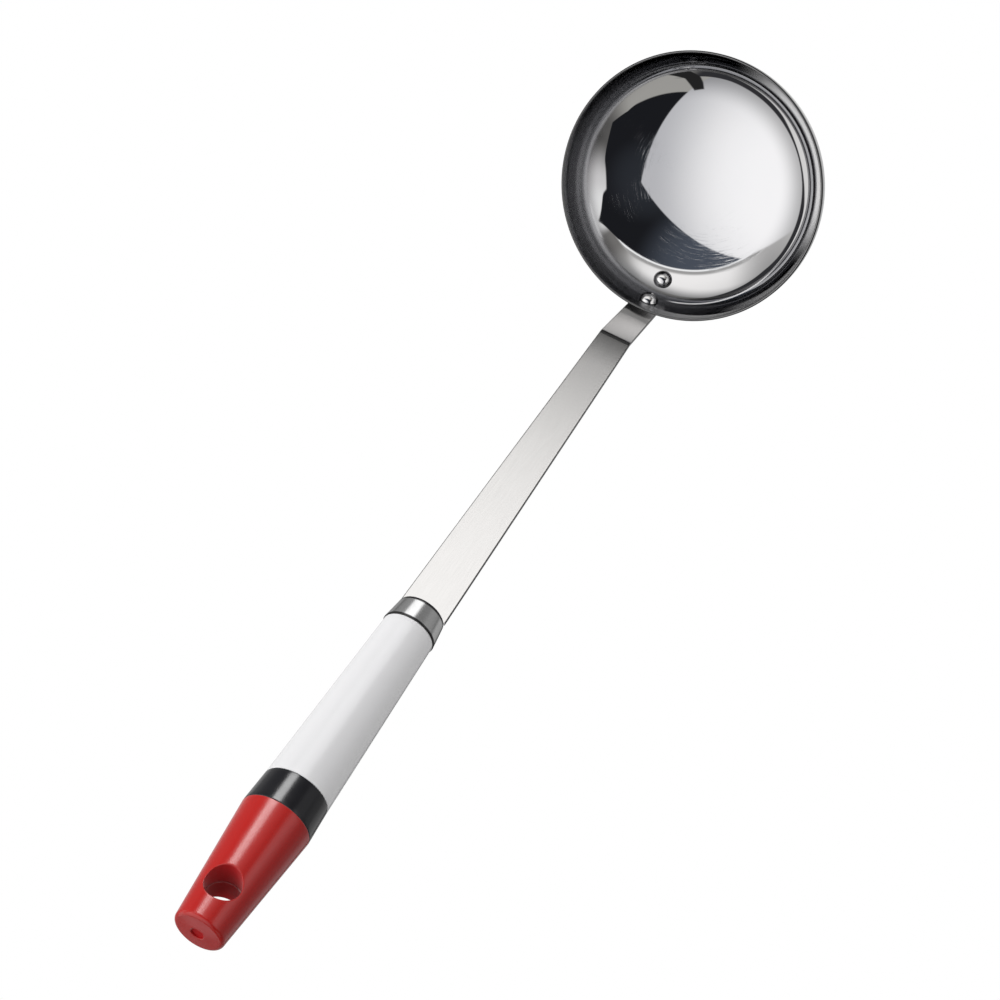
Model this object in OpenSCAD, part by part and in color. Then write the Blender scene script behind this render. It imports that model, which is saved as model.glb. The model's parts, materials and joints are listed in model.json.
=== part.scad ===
// Kitchen ladle: a drawn steel bowl riveted to a flat strap, with a ferrule and a three-colour moulded
// handle. Lengths are millimetres. The middle of the hanging hole is the origin. X runs level from the
// bowl towards the handle, Z points up out of the bowl, square to its rim, and Y is across.

/* [Bowl] */
// Outer radius of the bowl at its rim
bowl_r = 45; // [38:0.5:55]
// Depth of the bowl inside, from the rim's plane to the middle of the floor
bowl_depth = 26.5; // [25:0.5:30]
// Inside radius of the domed floor
floor_r = 70; // [60:1:85]
// Inside radius of the round corner between the floor and the wall
corner_r = 17; // [13:0.5:19]
// Lean of the side wall away from upright, in degrees
wall_lean = 5; // [3:0.5:8]
// Thickness of the bowl's sheet
bowl_t = 0.8; // [0.6:0.1:1.2]

/* [Shank] */
// Thickness of the strap
strap_t = 1.5; // [1.2:0.1:2]
// Width of the strap where it lies under the bowl
strap_low_w = 10; // [8:0.5:12]
// Width of the strap at the ferrule
strap_top_w = 16.4; // [14:0.2:18]
// Rise of the short run of the strap above the rim's plane, in degrees
short_rise = 67.4; // [62:0.2:72]
// Length of the short run, from the bowl to the crease
short_l = 26.4; // [20:0.2:34]
// Rise of the long run and the handle above the rim's plane, in degrees
long_rise = 49.5; // [40:0.5:58]
// Length of the long run, from the crease to the ferrule
long_l = 131.8; // [90:0.2:180]
// How far the strap reaches past the inner rivet
strap_end_l = 5; // [4:0.25:7]
// Width of the tang inside the handle
tang_w = 9; // [7:0.25:9.5]

/* [Rivets] */
// Slope of the bowl at the inner rivet, in degrees
inner_rivet_slope = 31; // [29:0.5:34]
// Slope of the bowl at the upper rivet, in degrees
upper_rivet_slope = 66; // [62:0.5:67]
// Radius of a rivet's shank
rivet_r = 1.6; // [1.2:0.1:2]
// Radius of the domed head inside the bowl
dome_head_r = 3.1; // [2.4:0.1:3.2]
// Height of the domed head
dome_head_h = 2; // [1.2:0.1:2.2]
// Radius of the closed head behind the strap
back_head_r = 2.5; // [2.1:0.1:3]
// Height of the closed head behind the strap
back_head_h = 1.1; // [0.8:0.1:1.5]

/* [Ferrule] */
// Radius of the ferrule at its face
ferrule_face_r = 8; // [7.5:0.1:8.6]
// Radius of the ferrule at its open end
ferrule_end_r = 9.2; // [8.8:0.1:9.8]
// Length of the ferrule
ferrule_l = 9.1; // [7:0.1:14]
// Thickness of the ferrule's sheet
ferrule_t = 0.6; // [0.4:0.1:0.8]
// Radius of the ferrule's outer edge
ferrule_edge_r = 1; // [0.7:0.1:1.4]

/* [Grip sleeve] */
// Radius of the sleeve beside the ferrule
sleeve_front_r = 8.9; // [8.7:0.1:9.4]
// Radius of the sleeve beside the band
sleeve_back_r = 11.3; // [10:0.1:12.5]
// Length of the sleeve outside the ferrule
sleeve_l = 69.9; // [50:0.1:95]
// Radius of the bore that the tang and the spigot lie in
bore_r = 6; // [5.6:0.1:6.2]

/* [Grip band] */
// Length of the band
band_l = 12.1; // [8:0.1:18]
// Radius of the band beside the cap
band_back_r = 12; // [11.4:0.1:13]

/* [End cap] */
// Length of the cap outside the band
cap_l = 46.2; // [40:0.1:60]
// Radius of the cap at its butt end, before the edge is rounded
cap_end_r = 8.7; // [8:0.1:9.5]
// Radius of the rounded edge at the butt end
cap_edge_r = 1.5; // [1:0.1:2.2]
// Height of the crown of the butt end
crown_h = 0.5; // [0.3:0.1:0.9]
// Radius of the hanging hole
hang_r = 5.9; // [4.5:0.1:6.4]
// Distance from the band to the middle of the hanging hole
hang_l = 31.6; // [28:0.1:33]
// Radius of the round recess in the butt end
recess_r = 2.3; // [1.5:0.1:3]
// Depth of the round recess
recess_depth = 0.9; // [0.5:0.1:1.5]
// How far the cap's spigot reaches into the sleeve
spigot_l = 14; // [8:0.5:24]
// Radius of the cross pin
pin_r = 1.5; // [1:0.1:2]

/* [Fits] */
// Gap between pieces that are seated on each other
seat_gap = 0.1; // [0.05:0.01:0.15]
// Running clearance on a radius, round a shank, a pin or the spigot
hole_clear = 0.1; // [0.05:0.01:0.15]

/* [Hidden] */
$fn = 72;
overrun = 2 * bowl_t;
arc_steps = 8;
floor_steps = 14;
half_share = 1 / 2;

// The bowl's section, in its own frame: the middle of the rim is zero and Z is up
rim_in_r = bowl_r - bowl_t / cos(wall_lean);
floor_z = floor_r - bowl_depth;
wall_way = [-sin(wall_lean), -cos(wall_lean)];
wall_square = [-cos(wall_lean), sin(wall_lean)];
from_floor = [rim_in_r, -floor_z] + corner_r * wall_square;
along_wall = from_floor * wall_way;
floor_less_corner = floor_r - corner_r;
wall_l = sqrt(along_wall * along_wall - from_floor * from_floor + floor_less_corner * floor_less_corner)
    - along_wall;
corner_c = [rim_in_r, 0] + corner_r * wall_square + wall_l * wall_way;
join_slope = atan2(corner_c[0], floor_z - corner_c[1]);

// A point of the section where the surface has a slope, moved outwards by some distance
function outward(slope) = [sin(slope), -cos(slope)];
function section_point(slope, out) =
    slope < join_slope
        ? [0, floor_z] + (floor_r + out) * outward(slope)
        : corner_c + (corner_r + out) * outward(slope);
function slopes(from, to, steps) = [for (i = [0 : steps]) from + (to - from) * i / steps];
function section_run(from, to, out) = concat(
    from < join_slope
        ? [for (s = slopes(from, join_slope - (join_slope - from) / floor_steps, floor_steps))
            section_point(s, out)]
        : [],
    [for (s = slopes(max(from, join_slope), to, arc_steps)) section_point(s, out)]
);

// The strap's inner face follows the bowl's outside up to the slope of its short run
strap_in = bowl_t + seat_gap;
short_way = [cos(short_rise), sin(short_rise)];
long_way = [cos(long_rise), sin(long_rise)];
crease = section_point(short_rise, strap_in) + short_l * short_way;
mitre = (outward(short_rise) + outward(long_rise)) / (1 + outward(short_rise) * outward(long_rise));
mouth = crease + long_l * long_way + strap_t * half_share * outward(long_rise);

// Places along the handle, measured from the ferrule's face
sleeve_start = ferrule_l + seat_gap;
band_start = ferrule_l + sleeve_l;
cap_start = band_start + band_l;
hang_at = cap_start + hang_l;
cap_end = cap_start + cap_l;
spigot_start = band_start - spigot_l;
pin_at = cap_start - band_l * half_share;
tang_l = pin_at + 2 * rivet_r + 2 * pin_r;
slot_w = tang_w + 2 * hole_clear;
slot_t = strap_t + 2 * hole_clear;
spigot_r = bore_r - hole_clear;

// The rivets' seats: a flat head on a hollow surface stands off by the hollow's rise under it
head_stand = dome_head_r * dome_head_r / (2 * corner_r) + seat_gap;
strap_out = strap_in + strap_t;
inner_rivet_at = section_point(inner_rivet_slope, 0);
upper_rivet_at = section_point(upper_rivet_slope, 0);

// From the hanging hole back to the middle of the bowl's rim
bowl_at = -(mouth + hang_at * long_way);

module in_bowl_frame() {
    translate([bowl_at[0], 0, bowl_at[1]]) children();
}

// Local Z runs along the handle from a place on its middle line, and local X points to its underside
module on_handle(at) {
    translate((at - hang_at) * [long_way[0], 0, long_way[1]])
        rotate([0, 90 - long_rise, 0])
            children();
}

// Local Z points outwards through the bowl's wall, from its inner face
module at_rivet(place, slope) {
    in_bowl_frame()
        translate([place[0], 0, place[1]])
            rotate([0, 180 - slope, 0])
                children();
}

// A solid head: the part of a ball above a flat face of some radius and height
module domed_head(r, h) {
    ball_r = (r * r + h * h) / (2 * h);
    intersection() {
        translate([0, 0, h - ball_r]) sphere(r = ball_r);
        translate([-r - overrun, -r - overrun, 0])
            cube([2 * (r + overrun), 2 * (r + overrun), h + overrun]);
    }
}

module rivet(place, slope) {
    into_head = back_head_h * half_share;
    back_at = strap_out + seat_gap;
    at_rivet(place, slope) {
        translate([0, 0, -head_stand]) mirror([0, 0, 1]) domed_head(dome_head_r, dome_head_h);
        translate([0, 0, -head_stand - into_head])
            cylinder(r = rivet_r, h = head_stand + back_at + 2 * into_head);
        translate([0, 0, back_at]) domed_head(back_head_r, back_head_h);
    }
}

module rivet_hole(place, slope) {
    at_rivet(place, slope)
        translate([0, 0, -overrun])
            cylinder(r = rivet_r + hole_clear, h = strap_out + 2 * overrun);
}

module bowl_section() {
    inside = section_run(0, 90 - wall_lean, 0);
    outside = section_run(0, 90 - wall_lean, bowl_t);
    lip_r = bowl_t * half_share;
    lip_c = [bowl_r - lip_r / cos(wall_lean) - lip_r * tan(wall_lean), -lip_r];
    lip = [for (a = slopes(180 - wall_lean, -wall_lean, arc_steps)) lip_c + lip_r * [cos(a), sin(a)]];
    polygon(concat(inside, lip, [for (i = [len(outside) - 1 : -1 : 0]) outside[i]]));
}

module bowl() {
    color("silver")
        difference() {
            in_bowl_frame() rotate_extrude() bowl_section();
            rivet_hole(inner_rivet_at, inner_rivet_slope);
            rivet_hole(upper_rivet_at, upper_rivet_slope);
        }
}

// The strap's side outline: its inner face from the free end to the tang's end, and its outer face back
module strap_side() {
    end_slope = inner_rivet_slope - asin((strap_end_l + overrun) / floor_r);
    tip = crease + (long_l + tang_l) * long_way;
    inner = section_run(end_slope, short_rise, strap_in);
    outer = section_run(end_slope, short_rise, strap_out);
    polygon(concat(
        inner,
        [crease, tip, tip + strap_t * outward(long_rise), crease + strap_t * mitre],
        [for (i = [len(outer) - 1 : -1 : 0]) outer[i]]
    ));
}

// The strap's outline seen square to its long run, with zero at the ferrule's face
module strap_plan() {
    low_end = (inner_rivet_at - mouth) * long_way;
    low_top = (section_point(short_rise, strap_in) - mouth) * long_way;
    low_half = strap_low_w * half_share;
    top_half = strap_top_w * half_share;
    tang_half = tang_w * half_share;
    translate([low_end, 0]) circle(r = low_half);
    polygon([
        [low_end, -low_half],
        [low_top, -low_half],
        [-seat_gap, -top_half],
        [-seat_gap, -tang_half],
        [tang_l, -tang_half],
        [tang_l, tang_half],
        [-seat_gap, tang_half],
        [-seat_gap, top_half],
        [low_top, low_half],
        [low_end, low_half]
    ]);
}

module shank() {
    color("gainsboro")
        difference() {
            intersection() {
                in_bowl_frame()
                    rotate([90, 0, 0])
                        linear_extrude(height = 2 * strap_top_w, center = true)
                            strap_side();
                on_handle(0)
                    rotate([0, -90, 0])
                        linear_extrude(height = 2 * bowl_r, center = true)
                            strap_plan();
            }
            rivet_hole(inner_rivet_at, inner_rivet_slope);
            rivet_hole(upper_rivet_at, upper_rivet_slope);
            tang_pin_hole();
        }
}

module inner_rivet() {
    color("white") rivet(inner_rivet_at, inner_rivet_slope);
}

module upper_rivet() {
    color("white") rivet(upper_rivet_at, upper_rivet_slope);
}

// The ferrule's outside, moved inwards by some distance, as a revolved outline
module ferrule_body(inwards, reach) {
    edge = ferrule_edge_r - inwards;
    face_r = ferrule_face_r - inwards;
    end_r = ferrule_end_r - inwards;
    rotate_extrude()
        polygon(concat(
            [[0, inwards]],
            [for (a = slopes(-90, 0, arc_steps))
                [face_r - edge + edge * cos(a), inwards + edge + edge * sin(a)]],
            [[end_r, reach], [0, reach]]
        ));
}

module ferrule() {
    color("lightgray")
        on_handle(0)
            difference() {
                ferrule_body(0, ferrule_l);
                ferrule_body(ferrule_t, ferrule_l + overrun);
                cube([slot_t, slot_w, 2 * ferrule_l], center = true);
            }
}

// The sleeve's nose fills the ferrule, and its shoulder stands against the ferrule's open end
module grip_sleeve() {
    nose_in = ferrule_t + seat_gap;
    color("whitesmoke")
        on_handle(0)
            difference() {
                union() {
                    intersection() {
                        ferrule_body(nose_in, sleeve_start + overrun);
                        cylinder(r = sleeve_front_r, h = sleeve_start + overrun);
                    }
                    translate([0, 0, sleeve_start])
                        cylinder(r1 = sleeve_front_r, r2 = sleeve_back_r, h = band_start - sleeve_start);
                }
                cylinder(r = bore_r, h = band_start + overrun);
            }
}

module grip_band() {
    color("dimgray")
        on_handle(band_start + seat_gap)
            difference() {
                cylinder(r1 = sleeve_back_r, r2 = band_back_r, h = band_l - seat_gap);
                translate([0, 0, -overrun]) cylinder(r = bore_r, h = band_l + 2 * overrun);
            }
}

// The hole for the cross pin, square to the tang's flat faces
module tang_pin_hole() {
    on_handle(pin_at)
        rotate([0, 90, 0])
            cylinder(r = pin_r + hole_clear, h = 2 * bore_r, center = true);
}

// The cap's outline: a cone, a rounded edge and a low crown
module cap_section() {
    cone_end = cap_l - cap_edge_r;
    polygon(concat(
        [[0, 0], [band_back_r, 0]],
        [for (a = slopes(0, 90, arc_steps))
            [cap_end_r - cap_edge_r + cap_edge_r * cos(a), cone_end - crown_h + cap_edge_r * sin(a)]],
        [[(cap_end_r - cap_edge_r) * half_share, cap_l - crown_h * half_share * half_share], [0, cap_l]]
    ));
}

module end_cap() {
    color("firebrick")
        difference() {
            union() {
                on_handle(cap_start + seat_gap) rotate_extrude() cap_section();
                on_handle(spigot_start) cylinder(r = spigot_r, h = cap_start + overrun - spigot_start);
            }
            on_handle(hang_at)
                rotate([0, 90, 0])
                    cylinder(r = hang_r, h = 2 * (band_back_r + overrun), center = true);
            on_handle(cap_end - recess_depth) cylinder(r = recess_r, h = recess_depth + overrun);
            on_handle(spigot_start - overrun)
                translate([-slot_t * half_share, -slot_w * half_share, 0])
                    cube([slot_t, slot_w, tang_l + 2 * overrun - spigot_start]);
            tang_pin_hole();
        }
}

module tang_pin() {
    color("slategray")
        on_handle(pin_at)
            rotate([0, 90, 0])
                cylinder(r = pin_r, h = 2 * (spigot_r - 2 * hole_clear), center = true);
}

bowl();
shank();
inner_rivet();
upper_rivet();
ferrule();
grip_sleeve();
grip_band();
end_cap();
tang_pin();
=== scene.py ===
import json
import bmesh
import bpy
import numpy as np
from mathutils import Matrix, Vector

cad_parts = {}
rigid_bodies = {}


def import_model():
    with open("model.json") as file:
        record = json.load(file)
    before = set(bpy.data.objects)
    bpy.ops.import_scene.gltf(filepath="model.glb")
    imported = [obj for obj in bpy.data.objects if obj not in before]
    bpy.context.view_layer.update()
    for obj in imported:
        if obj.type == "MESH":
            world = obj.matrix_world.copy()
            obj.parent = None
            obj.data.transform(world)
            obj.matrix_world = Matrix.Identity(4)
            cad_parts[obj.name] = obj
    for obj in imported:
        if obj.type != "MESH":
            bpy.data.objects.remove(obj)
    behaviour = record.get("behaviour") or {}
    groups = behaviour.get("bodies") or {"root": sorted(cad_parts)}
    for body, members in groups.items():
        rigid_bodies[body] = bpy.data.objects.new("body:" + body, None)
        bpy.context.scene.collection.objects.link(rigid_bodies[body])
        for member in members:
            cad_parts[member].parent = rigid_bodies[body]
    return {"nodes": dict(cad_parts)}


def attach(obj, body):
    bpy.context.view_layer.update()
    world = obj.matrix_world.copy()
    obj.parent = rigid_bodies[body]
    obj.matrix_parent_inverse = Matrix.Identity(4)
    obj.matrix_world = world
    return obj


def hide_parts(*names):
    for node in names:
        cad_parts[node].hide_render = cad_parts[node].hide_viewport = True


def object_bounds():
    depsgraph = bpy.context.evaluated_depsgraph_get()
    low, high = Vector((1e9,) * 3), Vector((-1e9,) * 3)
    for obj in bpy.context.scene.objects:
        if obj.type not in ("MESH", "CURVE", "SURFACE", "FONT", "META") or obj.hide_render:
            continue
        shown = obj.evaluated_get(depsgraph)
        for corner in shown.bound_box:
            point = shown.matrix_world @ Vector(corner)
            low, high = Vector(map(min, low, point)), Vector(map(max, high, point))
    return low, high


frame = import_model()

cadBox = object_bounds()
mm = 0.001

# Where the handle and the bowl lie in the shared frame, in millimetres and degrees.
# Zero is the middle of the hanging hole.
layout = dict(
    handleRise=49.5,
    holeFromFerrule=122.7,
    bowlMiddle=(-219.4705, -208.3905),
    seatGap=0.1,
)
rise = np.radians(layout["handleRise"])
longWay = np.array([np.cos(rise), np.sin(rise)])
underWay = np.array([np.sin(rise), -np.cos(rise)])


# middle line of the handle from the hanging hole + a step towards the underside + a step across
def onHandle(along, under, across):
    along, under, across = np.broadcast_arrays(along, under, across)
    step = (along - layout["holeFromFerrule"])[..., None] * longWay + under[..., None] * underWay
    return np.stack([step[..., 0], across, step[..., 1]], -1) * mm


# the same for a turned surface, with the handle as its axis
def roundHandle(x, y, along):
    return onHandle(along, x, y)


# the rim's middle + a place measured from it
def inBowl(x, y, z):
    x, y, z = np.broadcast_arrays(x, y, z)
    middle = layout["bowlMiddle"]
    return np.stack([x + middle[0], y, z + middle[1]], -1) * mm


# place on an arc = its middle + radius * (cos, sin) of angles that run evenly from start to end
def arc(middle, radius, start, end, steps):
    angles = np.radians(np.linspace(start, end, steps + 1))
    return np.array(middle) + radius * np.stack([np.cos(angles), np.sin(angles)], -1)


# a polyline whose inner corners are arcs: each touches its corner's sides, at radius / tan(half its angle)
def softOutline(corners, radii, steps=5):
    corners = np.array(corners, float)
    runs = [corners[:1]]
    for before, here, after, radius in zip(corners, corners[1:], corners[2:], radii):
        if radius <= 0:
            runs.append(here[None])
            continue
        back, on = before - here, after - here
        back, on = back / np.hypot(*back), on / np.hypot(*on)
        half = np.arccos(np.clip(back @ on, -1, 1)) / 2
        middle = here + (back + on) / np.hypot(*(back + on)) * radius / np.sin(half)
        first, last = here + back * radius / np.tan(half), here + on * radius / np.tan(half)
        turn = np.linspace(0, 1, steps + 1)[:, None]
        spoke = (first - middle) * (1 - turn) + (last - middle) * turn
        runs.append(middle + spoke / np.hypot(*spoke.T)[:, None] * radius)
    runs.append(corners[-1:])
    return np.concatenate(runs)


# more points on an outline: each stretch is split until its pieces are at most reach long
def fineOutline(points, reach):
    lengths = np.hypot(*np.diff(points, axis=0).T)
    counts = np.maximum(np.ceil(lengths / reach).astype(int), 1)
    runs = [a + (b - a) * np.arange(n)[:, None] / n for a, b, n in zip(points, points[1:], counts)]
    return np.concatenate(runs + [points[-1:]])


# this many places evenly on a line, from first to last
def straight(first, last, count):
    return first + (last - first) * np.linspace(0, 1, count)[:, None]


# turned surface: radius(u) * (cos v, sin v) at height(u), v once round, first and last column alike
def turned(outline, around, place, start=0.0):
    v = np.radians(start) + np.linspace(0, 2 * np.pi, around + 1)
    radius, height = outline[:, :1], outline[:, 1:]
    return place(radius * np.cos(v), radius * np.sin(v), height + 0 * v)


# a new object in the scene
def newObject(name, data):
    made = bpy.data.objects.new(name, data)
    bpy.context.scene.collection.objects.link(made)
    return made


# points this near are joined and edges this short dropped, in mm; a turn of more degrees is shaded sharp
joinReach = 4e-4
shortest = 1e-5
sharpFrom = 35


# every grid cell becomes a face, equal points are joined, and the faces turned outwards
def skin(name, grids, material, nodeName):
    points, faces, start = [], [], 0
    for grid in grids:
        rows, columns = grid.shape[:2]
        index = start + np.arange(rows * columns).reshape(rows, columns)
        cells = np.stack([index[:-1, :-1], index[:-1, 1:], index[1:, 1:], index[1:, :-1]], -1)
        points.append(grid.reshape(-1, 3))
        faces.append(cells.reshape(-1, 4))
        start += rows * columns
    mesh = bpy.data.meshes.new(name)
    mesh.from_pydata(np.concatenate(points).tolist(), [], np.concatenate(faces).tolist())
    work = bmesh.new()
    work.from_mesh(mesh)
    bmesh.ops.remove_doubles(work, verts=work.verts, dist=joinReach * mm)
    bmesh.ops.dissolve_degenerate(work, edges=work.edges, dist=shortest * mm)
    bmesh.ops.recalc_face_normals(work, faces=work.faces)
    work.to_mesh(mesh)
    work.free()
    mesh.polygons.foreach_set("use_smooth", np.ones(len(mesh.polygons), bool))
    mesh.set_sharp_from_angle(angle=np.radians(sharpFrom))
    mesh.materials.append(material)
    piece = newObject(name, mesh)
    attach(piece, "root")
    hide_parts(nodeName)
    print("made", name, len(mesh.polygons), "faces")
    return piece


# Short calls for a node tree: each adds its nodes and gives the last one's output
class Tree:
    def __init__(self, tree):
        self.tree = tree
        self.tree.nodes.clear()

    # a new node with these settings
    def add(self, kind, **settings):
        node = self.tree.nodes.new(kind)
        for key, value in settings.items():
            setattr(node, key, value)
        return node

    # a node's output is linked, and anything else is written into the socket
    def put(self, socket, value):
        if isinstance(value, bpy.types.NodeSocket):
            self.tree.links.new(value, socket)
        else:
            socket.default_value = value

    # a value for each of these inputs of a node
    def fill(self, node, **values):
        for key, value in values.items():
            self.put(node.inputs[key], value)

    # one operation on up to three numbers
    def math(self, operation, *values):
        node = self.add("ShaderNodeMath", operation=operation)
        for socket, value in zip(node.inputs, values):
            self.put(socket, value)
        return node.outputs[0]

    # first value * each of the others
    def product(self, first, *others):
        for value in others:
            first = self.math("MULTIPLY", first, value)
        return first

    # product of each value's ease over the span of its name
    def zone(self, spans, **values):
        return self.product(*(self.ease(value, *spans[name]) for name, value in values.items()))

    # the x, y and z of a vector
    def split(self, vector):
        node = self.add("ShaderNodeSeparateXYZ")
        self.put(node.inputs[0], vector)
        return node.outputs

    # first vector . second, or another operation on the two
    def vector(self, operation, first, second):
        node = self.add("ShaderNodeVectorMath", operation=operation)
        self.put(node.inputs[0], first)
        self.put(node.inputs[1], second)
        return node.outputs["Value" if operation == "DOT_PRODUCT" else "Vector"]

    # start + (end - start) * t * t * (3 - 2 t), where t is the value's share of the way from low to high
    def ease(self, value, low, high, start=0.0, end=1.0):
        node = self.add("ShaderNodeMapRange", interpolation_type="SMOOTHSTEP")
        for socket, given in zip(node.inputs, (value, low, high, start, end)):
            self.put(socket, given)
        return node.outputs[0]

    # first colour * (1 - share) + second colour * share
    def blend(self, share, first, second):
        node = self.add("ShaderNodeMix", data_type="RGBA")
        self.put(node.inputs[0], share)
        self.put(node.inputs[6], first)
        self.put(node.inputs[7], second)
        return node.outputs[2]

    # noise with finer layers on it, each weaker by the roughness
    def noise(self, place, scale, detail=2.0, roughness=0.5):
        node = self.add("ShaderNodeTexNoise")
        self.fill(node, Vector=place, Scale=scale, Detail=detail, Roughness=roughness)
        return node.outputs[0]

    # the normal, tilted by the slope of a height
    def bump(self, height, strength, distance):
        node = self.add("ShaderNodeBump")
        self.fill(node, Height=height, Strength=strength, Distance=distance)
        return node.outputs[0]


# a new material's node tree, with its one shader and the piece's own coordinates as place
class Finish(Tree):
    def __init__(self, name, constants):
        self.material = bpy.data.materials.new(name)
        self.material.use_nodes = True
        super().__init__(self.material.node_tree)
        self.shader = self.add("ShaderNodeBsdfPrincipled")
        self.fill(self.shader, **constants)
        self.put(self.add("ShaderNodeOutputMaterial").inputs[0], self.shader.outputs[0])
        self.place = self.add("ShaderNodeTexCoord").outputs["Object"]

    # the shader's colour, roughness and one more input, and then the material
    def give(self, colour, rough, name, value):
        self.fill(self.shader, **{"Base Color": colour, "Roughness": rough, name: value})
        return self.material


# In the finishes lengths are metres. A span is where something starts and is full, then its shares there.
noiseSpan = (0.3, 0.7)

# Polished steel: near-mirror, with a few hair-fine rub marks that run round the bowl. The +Y wall has painted
# reflections, bright stretches and a thin highlight line; the -Y wall a duller polish and painted shade, and
# a painted shade line runs under the rim's outer arris.
# Heights and radii are from the rim's middle.
mirrorSteel = dict(
    colour=(0.545, 0.545, 0.55, 1),
    stain=(0.52, 0.525, 0.535, 1),
    stainScale=60.0,
    grazing=(0.3, 0.3, 0.31, 1),
    smooth=0.02,
    # rub marks: repeats per metre outwards and per radian round, and where they lie
    markRepeats=(2000.0, 1.2),
    markNoise=(2.0, 3.0, 0.7),
    markRough=0.3,
    markLines=(0.495, 0.675),
    markPatches=(0.38, 0.6),
    wornSide=(0.956, -0.29, 0.0),
    wornStep=(-0.004, 0.006),
    wornHeight=(-0.016, -0.02),
    # the -Y wall's duller polish and painted shade, by height and by how far it faces the first painted
    # reflection stretch's side
    dullColour=(0.37, 0.37, 0.38, 1),
    dullRough=0.2,
    dullHeight=(-0.0165, -0.0115),
    dullFacing=(0.2, -0.6),
    # painted reflection stretches, bright non-metal patches: the side one faces, where it starts and is full
    # there, its foot's height, its share
    satin=(((-0.643, 0.766, 0), 0.55, 0.95, -0.0142, 0.85),
           ((0.358, 0.934, 0), 0.8, 1.0, -0.0105, 0.32),
           ((0.9, 0.434, 0), 0.85, 1.0, -0.0066, 0.55),
           ((0.396, -0.918, 0), 0.85, 1.0, -0.003, 0.2)),
    satinColour=(0.9, 0.9, 0.9, 1),
    satinFoot=0.0015,
    # the painted highlight line: its depth at +X, its fall per radian, its half width and its ends in radians
    lineDepth=0.0112,
    lineFall=0.00381,
    lineHalf=(0.00032, 0.00012, 0.0, 0.85),
    lineStart=(0.1, 0.2),
    lineEnd=(1.3, 0.9),
    # the rim's cut edge, and the painted shade line on the outside under the arris
    edgeColour=(0.16, 0.16, 0.16, 1),
    edgeRough=0.3,
    edgeHeight=(-0.0005, -0.0002),
    arrisColour=(0.03, 0.03, 0.03, 1),
    arrisHeight=(-0.0024, -0.0012),
    arrisRadius=(0.04455, 0.0448),
    wallTaper=0.0875,
)


# each zone's share is a product of eased heights, radii and facings, and blends its colour over the last
def makeMirrorSteel():
    look = mirrorSteel
    tree = Finish("polishedSteel", {"Specular Tint": look["grazing"]})
    middle = layout["bowlMiddle"]
    fromRim = tree.vector("SUBTRACT", tree.place, (middle[0] * mm, 0, middle[1] * mm))
    x, y, height = tree.split(fromRim)
    radius = tree.math("SQRT", tree.math("ADD", tree.math("POWER", x, 2.0), tree.math("POWER", y, 2.0)))
    angle = tree.math("ARCTAN2", y, x)
    polar = tree.add("ShaderNodeCombineXYZ")
    for socket, value, repeats in zip(polar.inputs, (radius, angle), look["markRepeats"]):
        tree.put(socket, tree.product(value, repeats))
    lines = tree.noise(polar.outputs[0], *look["markNoise"])
    patches = tree.noise(tree.place, look["stainScale"])
    # the bowl is rubbed where it is held up to dry: on the floor's handle side
    worn = tree.vector("DOT_PRODUCT", fromRim, look["wornSide"])
    marks = tree.zone(look, markLines=lines, markPatches=patches, wornStep=worn, wornHeight=height)
    onEdge = tree.zone(look, edgeHeight=height)
    # how far a side is faced = (unit side . place) / radius
    faced = [tree.math("DIVIDE", tree.vector("DOT_PRODUCT", fromRim, stretch[0]), radius)
             for stretch in look["satin"]]
    # a rougher polish and painted shade on the upper -Y wall
    dull = tree.zone(look, dullHeight=height, dullFacing=faced[0])
    rough = tree.math("MULTIPLY_ADD", marks, look["markRough"], look["smooth"])
    rough = tree.math("MULTIPLY_ADD", dull, look["dullRough"], rough)
    rough = tree.math("MULTIPLY_ADD", onEdge, look["edgeRough"], rough)
    # painted reflection: the stretches and the highlight line are a bright non-metal colour, not steel
    band = 0.0
    for facing, (_, start, full, foot, share) in zip(faced, look["satin"]):
        stretch = tree.product(tree.ease(facing, start, full, 0.0, share),
                               tree.ease(height, foot, foot + look["satinFoot"]))
        band = tree.math("MAXIMUM", band, stretch)
    # off the painted highlight line = height + its depth + its fall * angle
    off = tree.math("ADD", height, tree.math("MULTIPLY_ADD", angle, look["lineFall"], look["lineDepth"]))
    line = tree.zone(look, lineHalf=tree.math("ABSOLUTE", off), lineStart=angle, lineEnd=angle)
    band = tree.product(tree.math("MAXIMUM", band, line), tree.math("SUBTRACT", 1.0, onEdge))
    steel = tree.blend(patches, look["colour"], look["stain"])
    # painted shade: the upper -Y wall is darkened
    steel = tree.blend(dull, steel, look["dullColour"])
    # painted reflection blended over the steel
    steel = tree.blend(band, steel, look["satinColour"])
    steel = tree.blend(onEdge, steel, look["edgeColour"])
    # the radius less what the leaning wall loses by its height
    outer = tree.math("MULTIPLY_ADD", height, -look["wallTaper"], radius)
    # painted shade: a dark line on the outer wall just under the rim
    arris = tree.zone(look, arrisRadius=outer, arrisHeight=height)
    steel = tree.blend(arris, steel, look["arrisColour"])
    return tree.give(steel, rough, "Metallic", tree.math("SUBTRACT", 1.0, band))


# step along the handle of a place = (place - ferrule's face) on the handle's way, in metres
def alongHandle(tree):
    start = -layout["holeFromFerrule"] * mm * longWay
    moved = tree.vector("SUBTRACT", tree.place, (start[0], 0, start[1]))
    return tree.vector("DOT_PRODUCT", moved, (longWay[0], 0, longWay[1]))


# noise on places divided by grainAlong along the handle, so that its spots are drawn out into a grain
def drawnGrain(tree, look):
    node = tree.add("ShaderNodeMapping", vector_type="TEXTURE")
    tree.fill(node, Vector=tree.place, Rotation=(0, -rise, 0), Scale=(look["grainAlong"], 1, 1))
    return tree.noise(node.outputs[0], *look["grain"])


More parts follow.
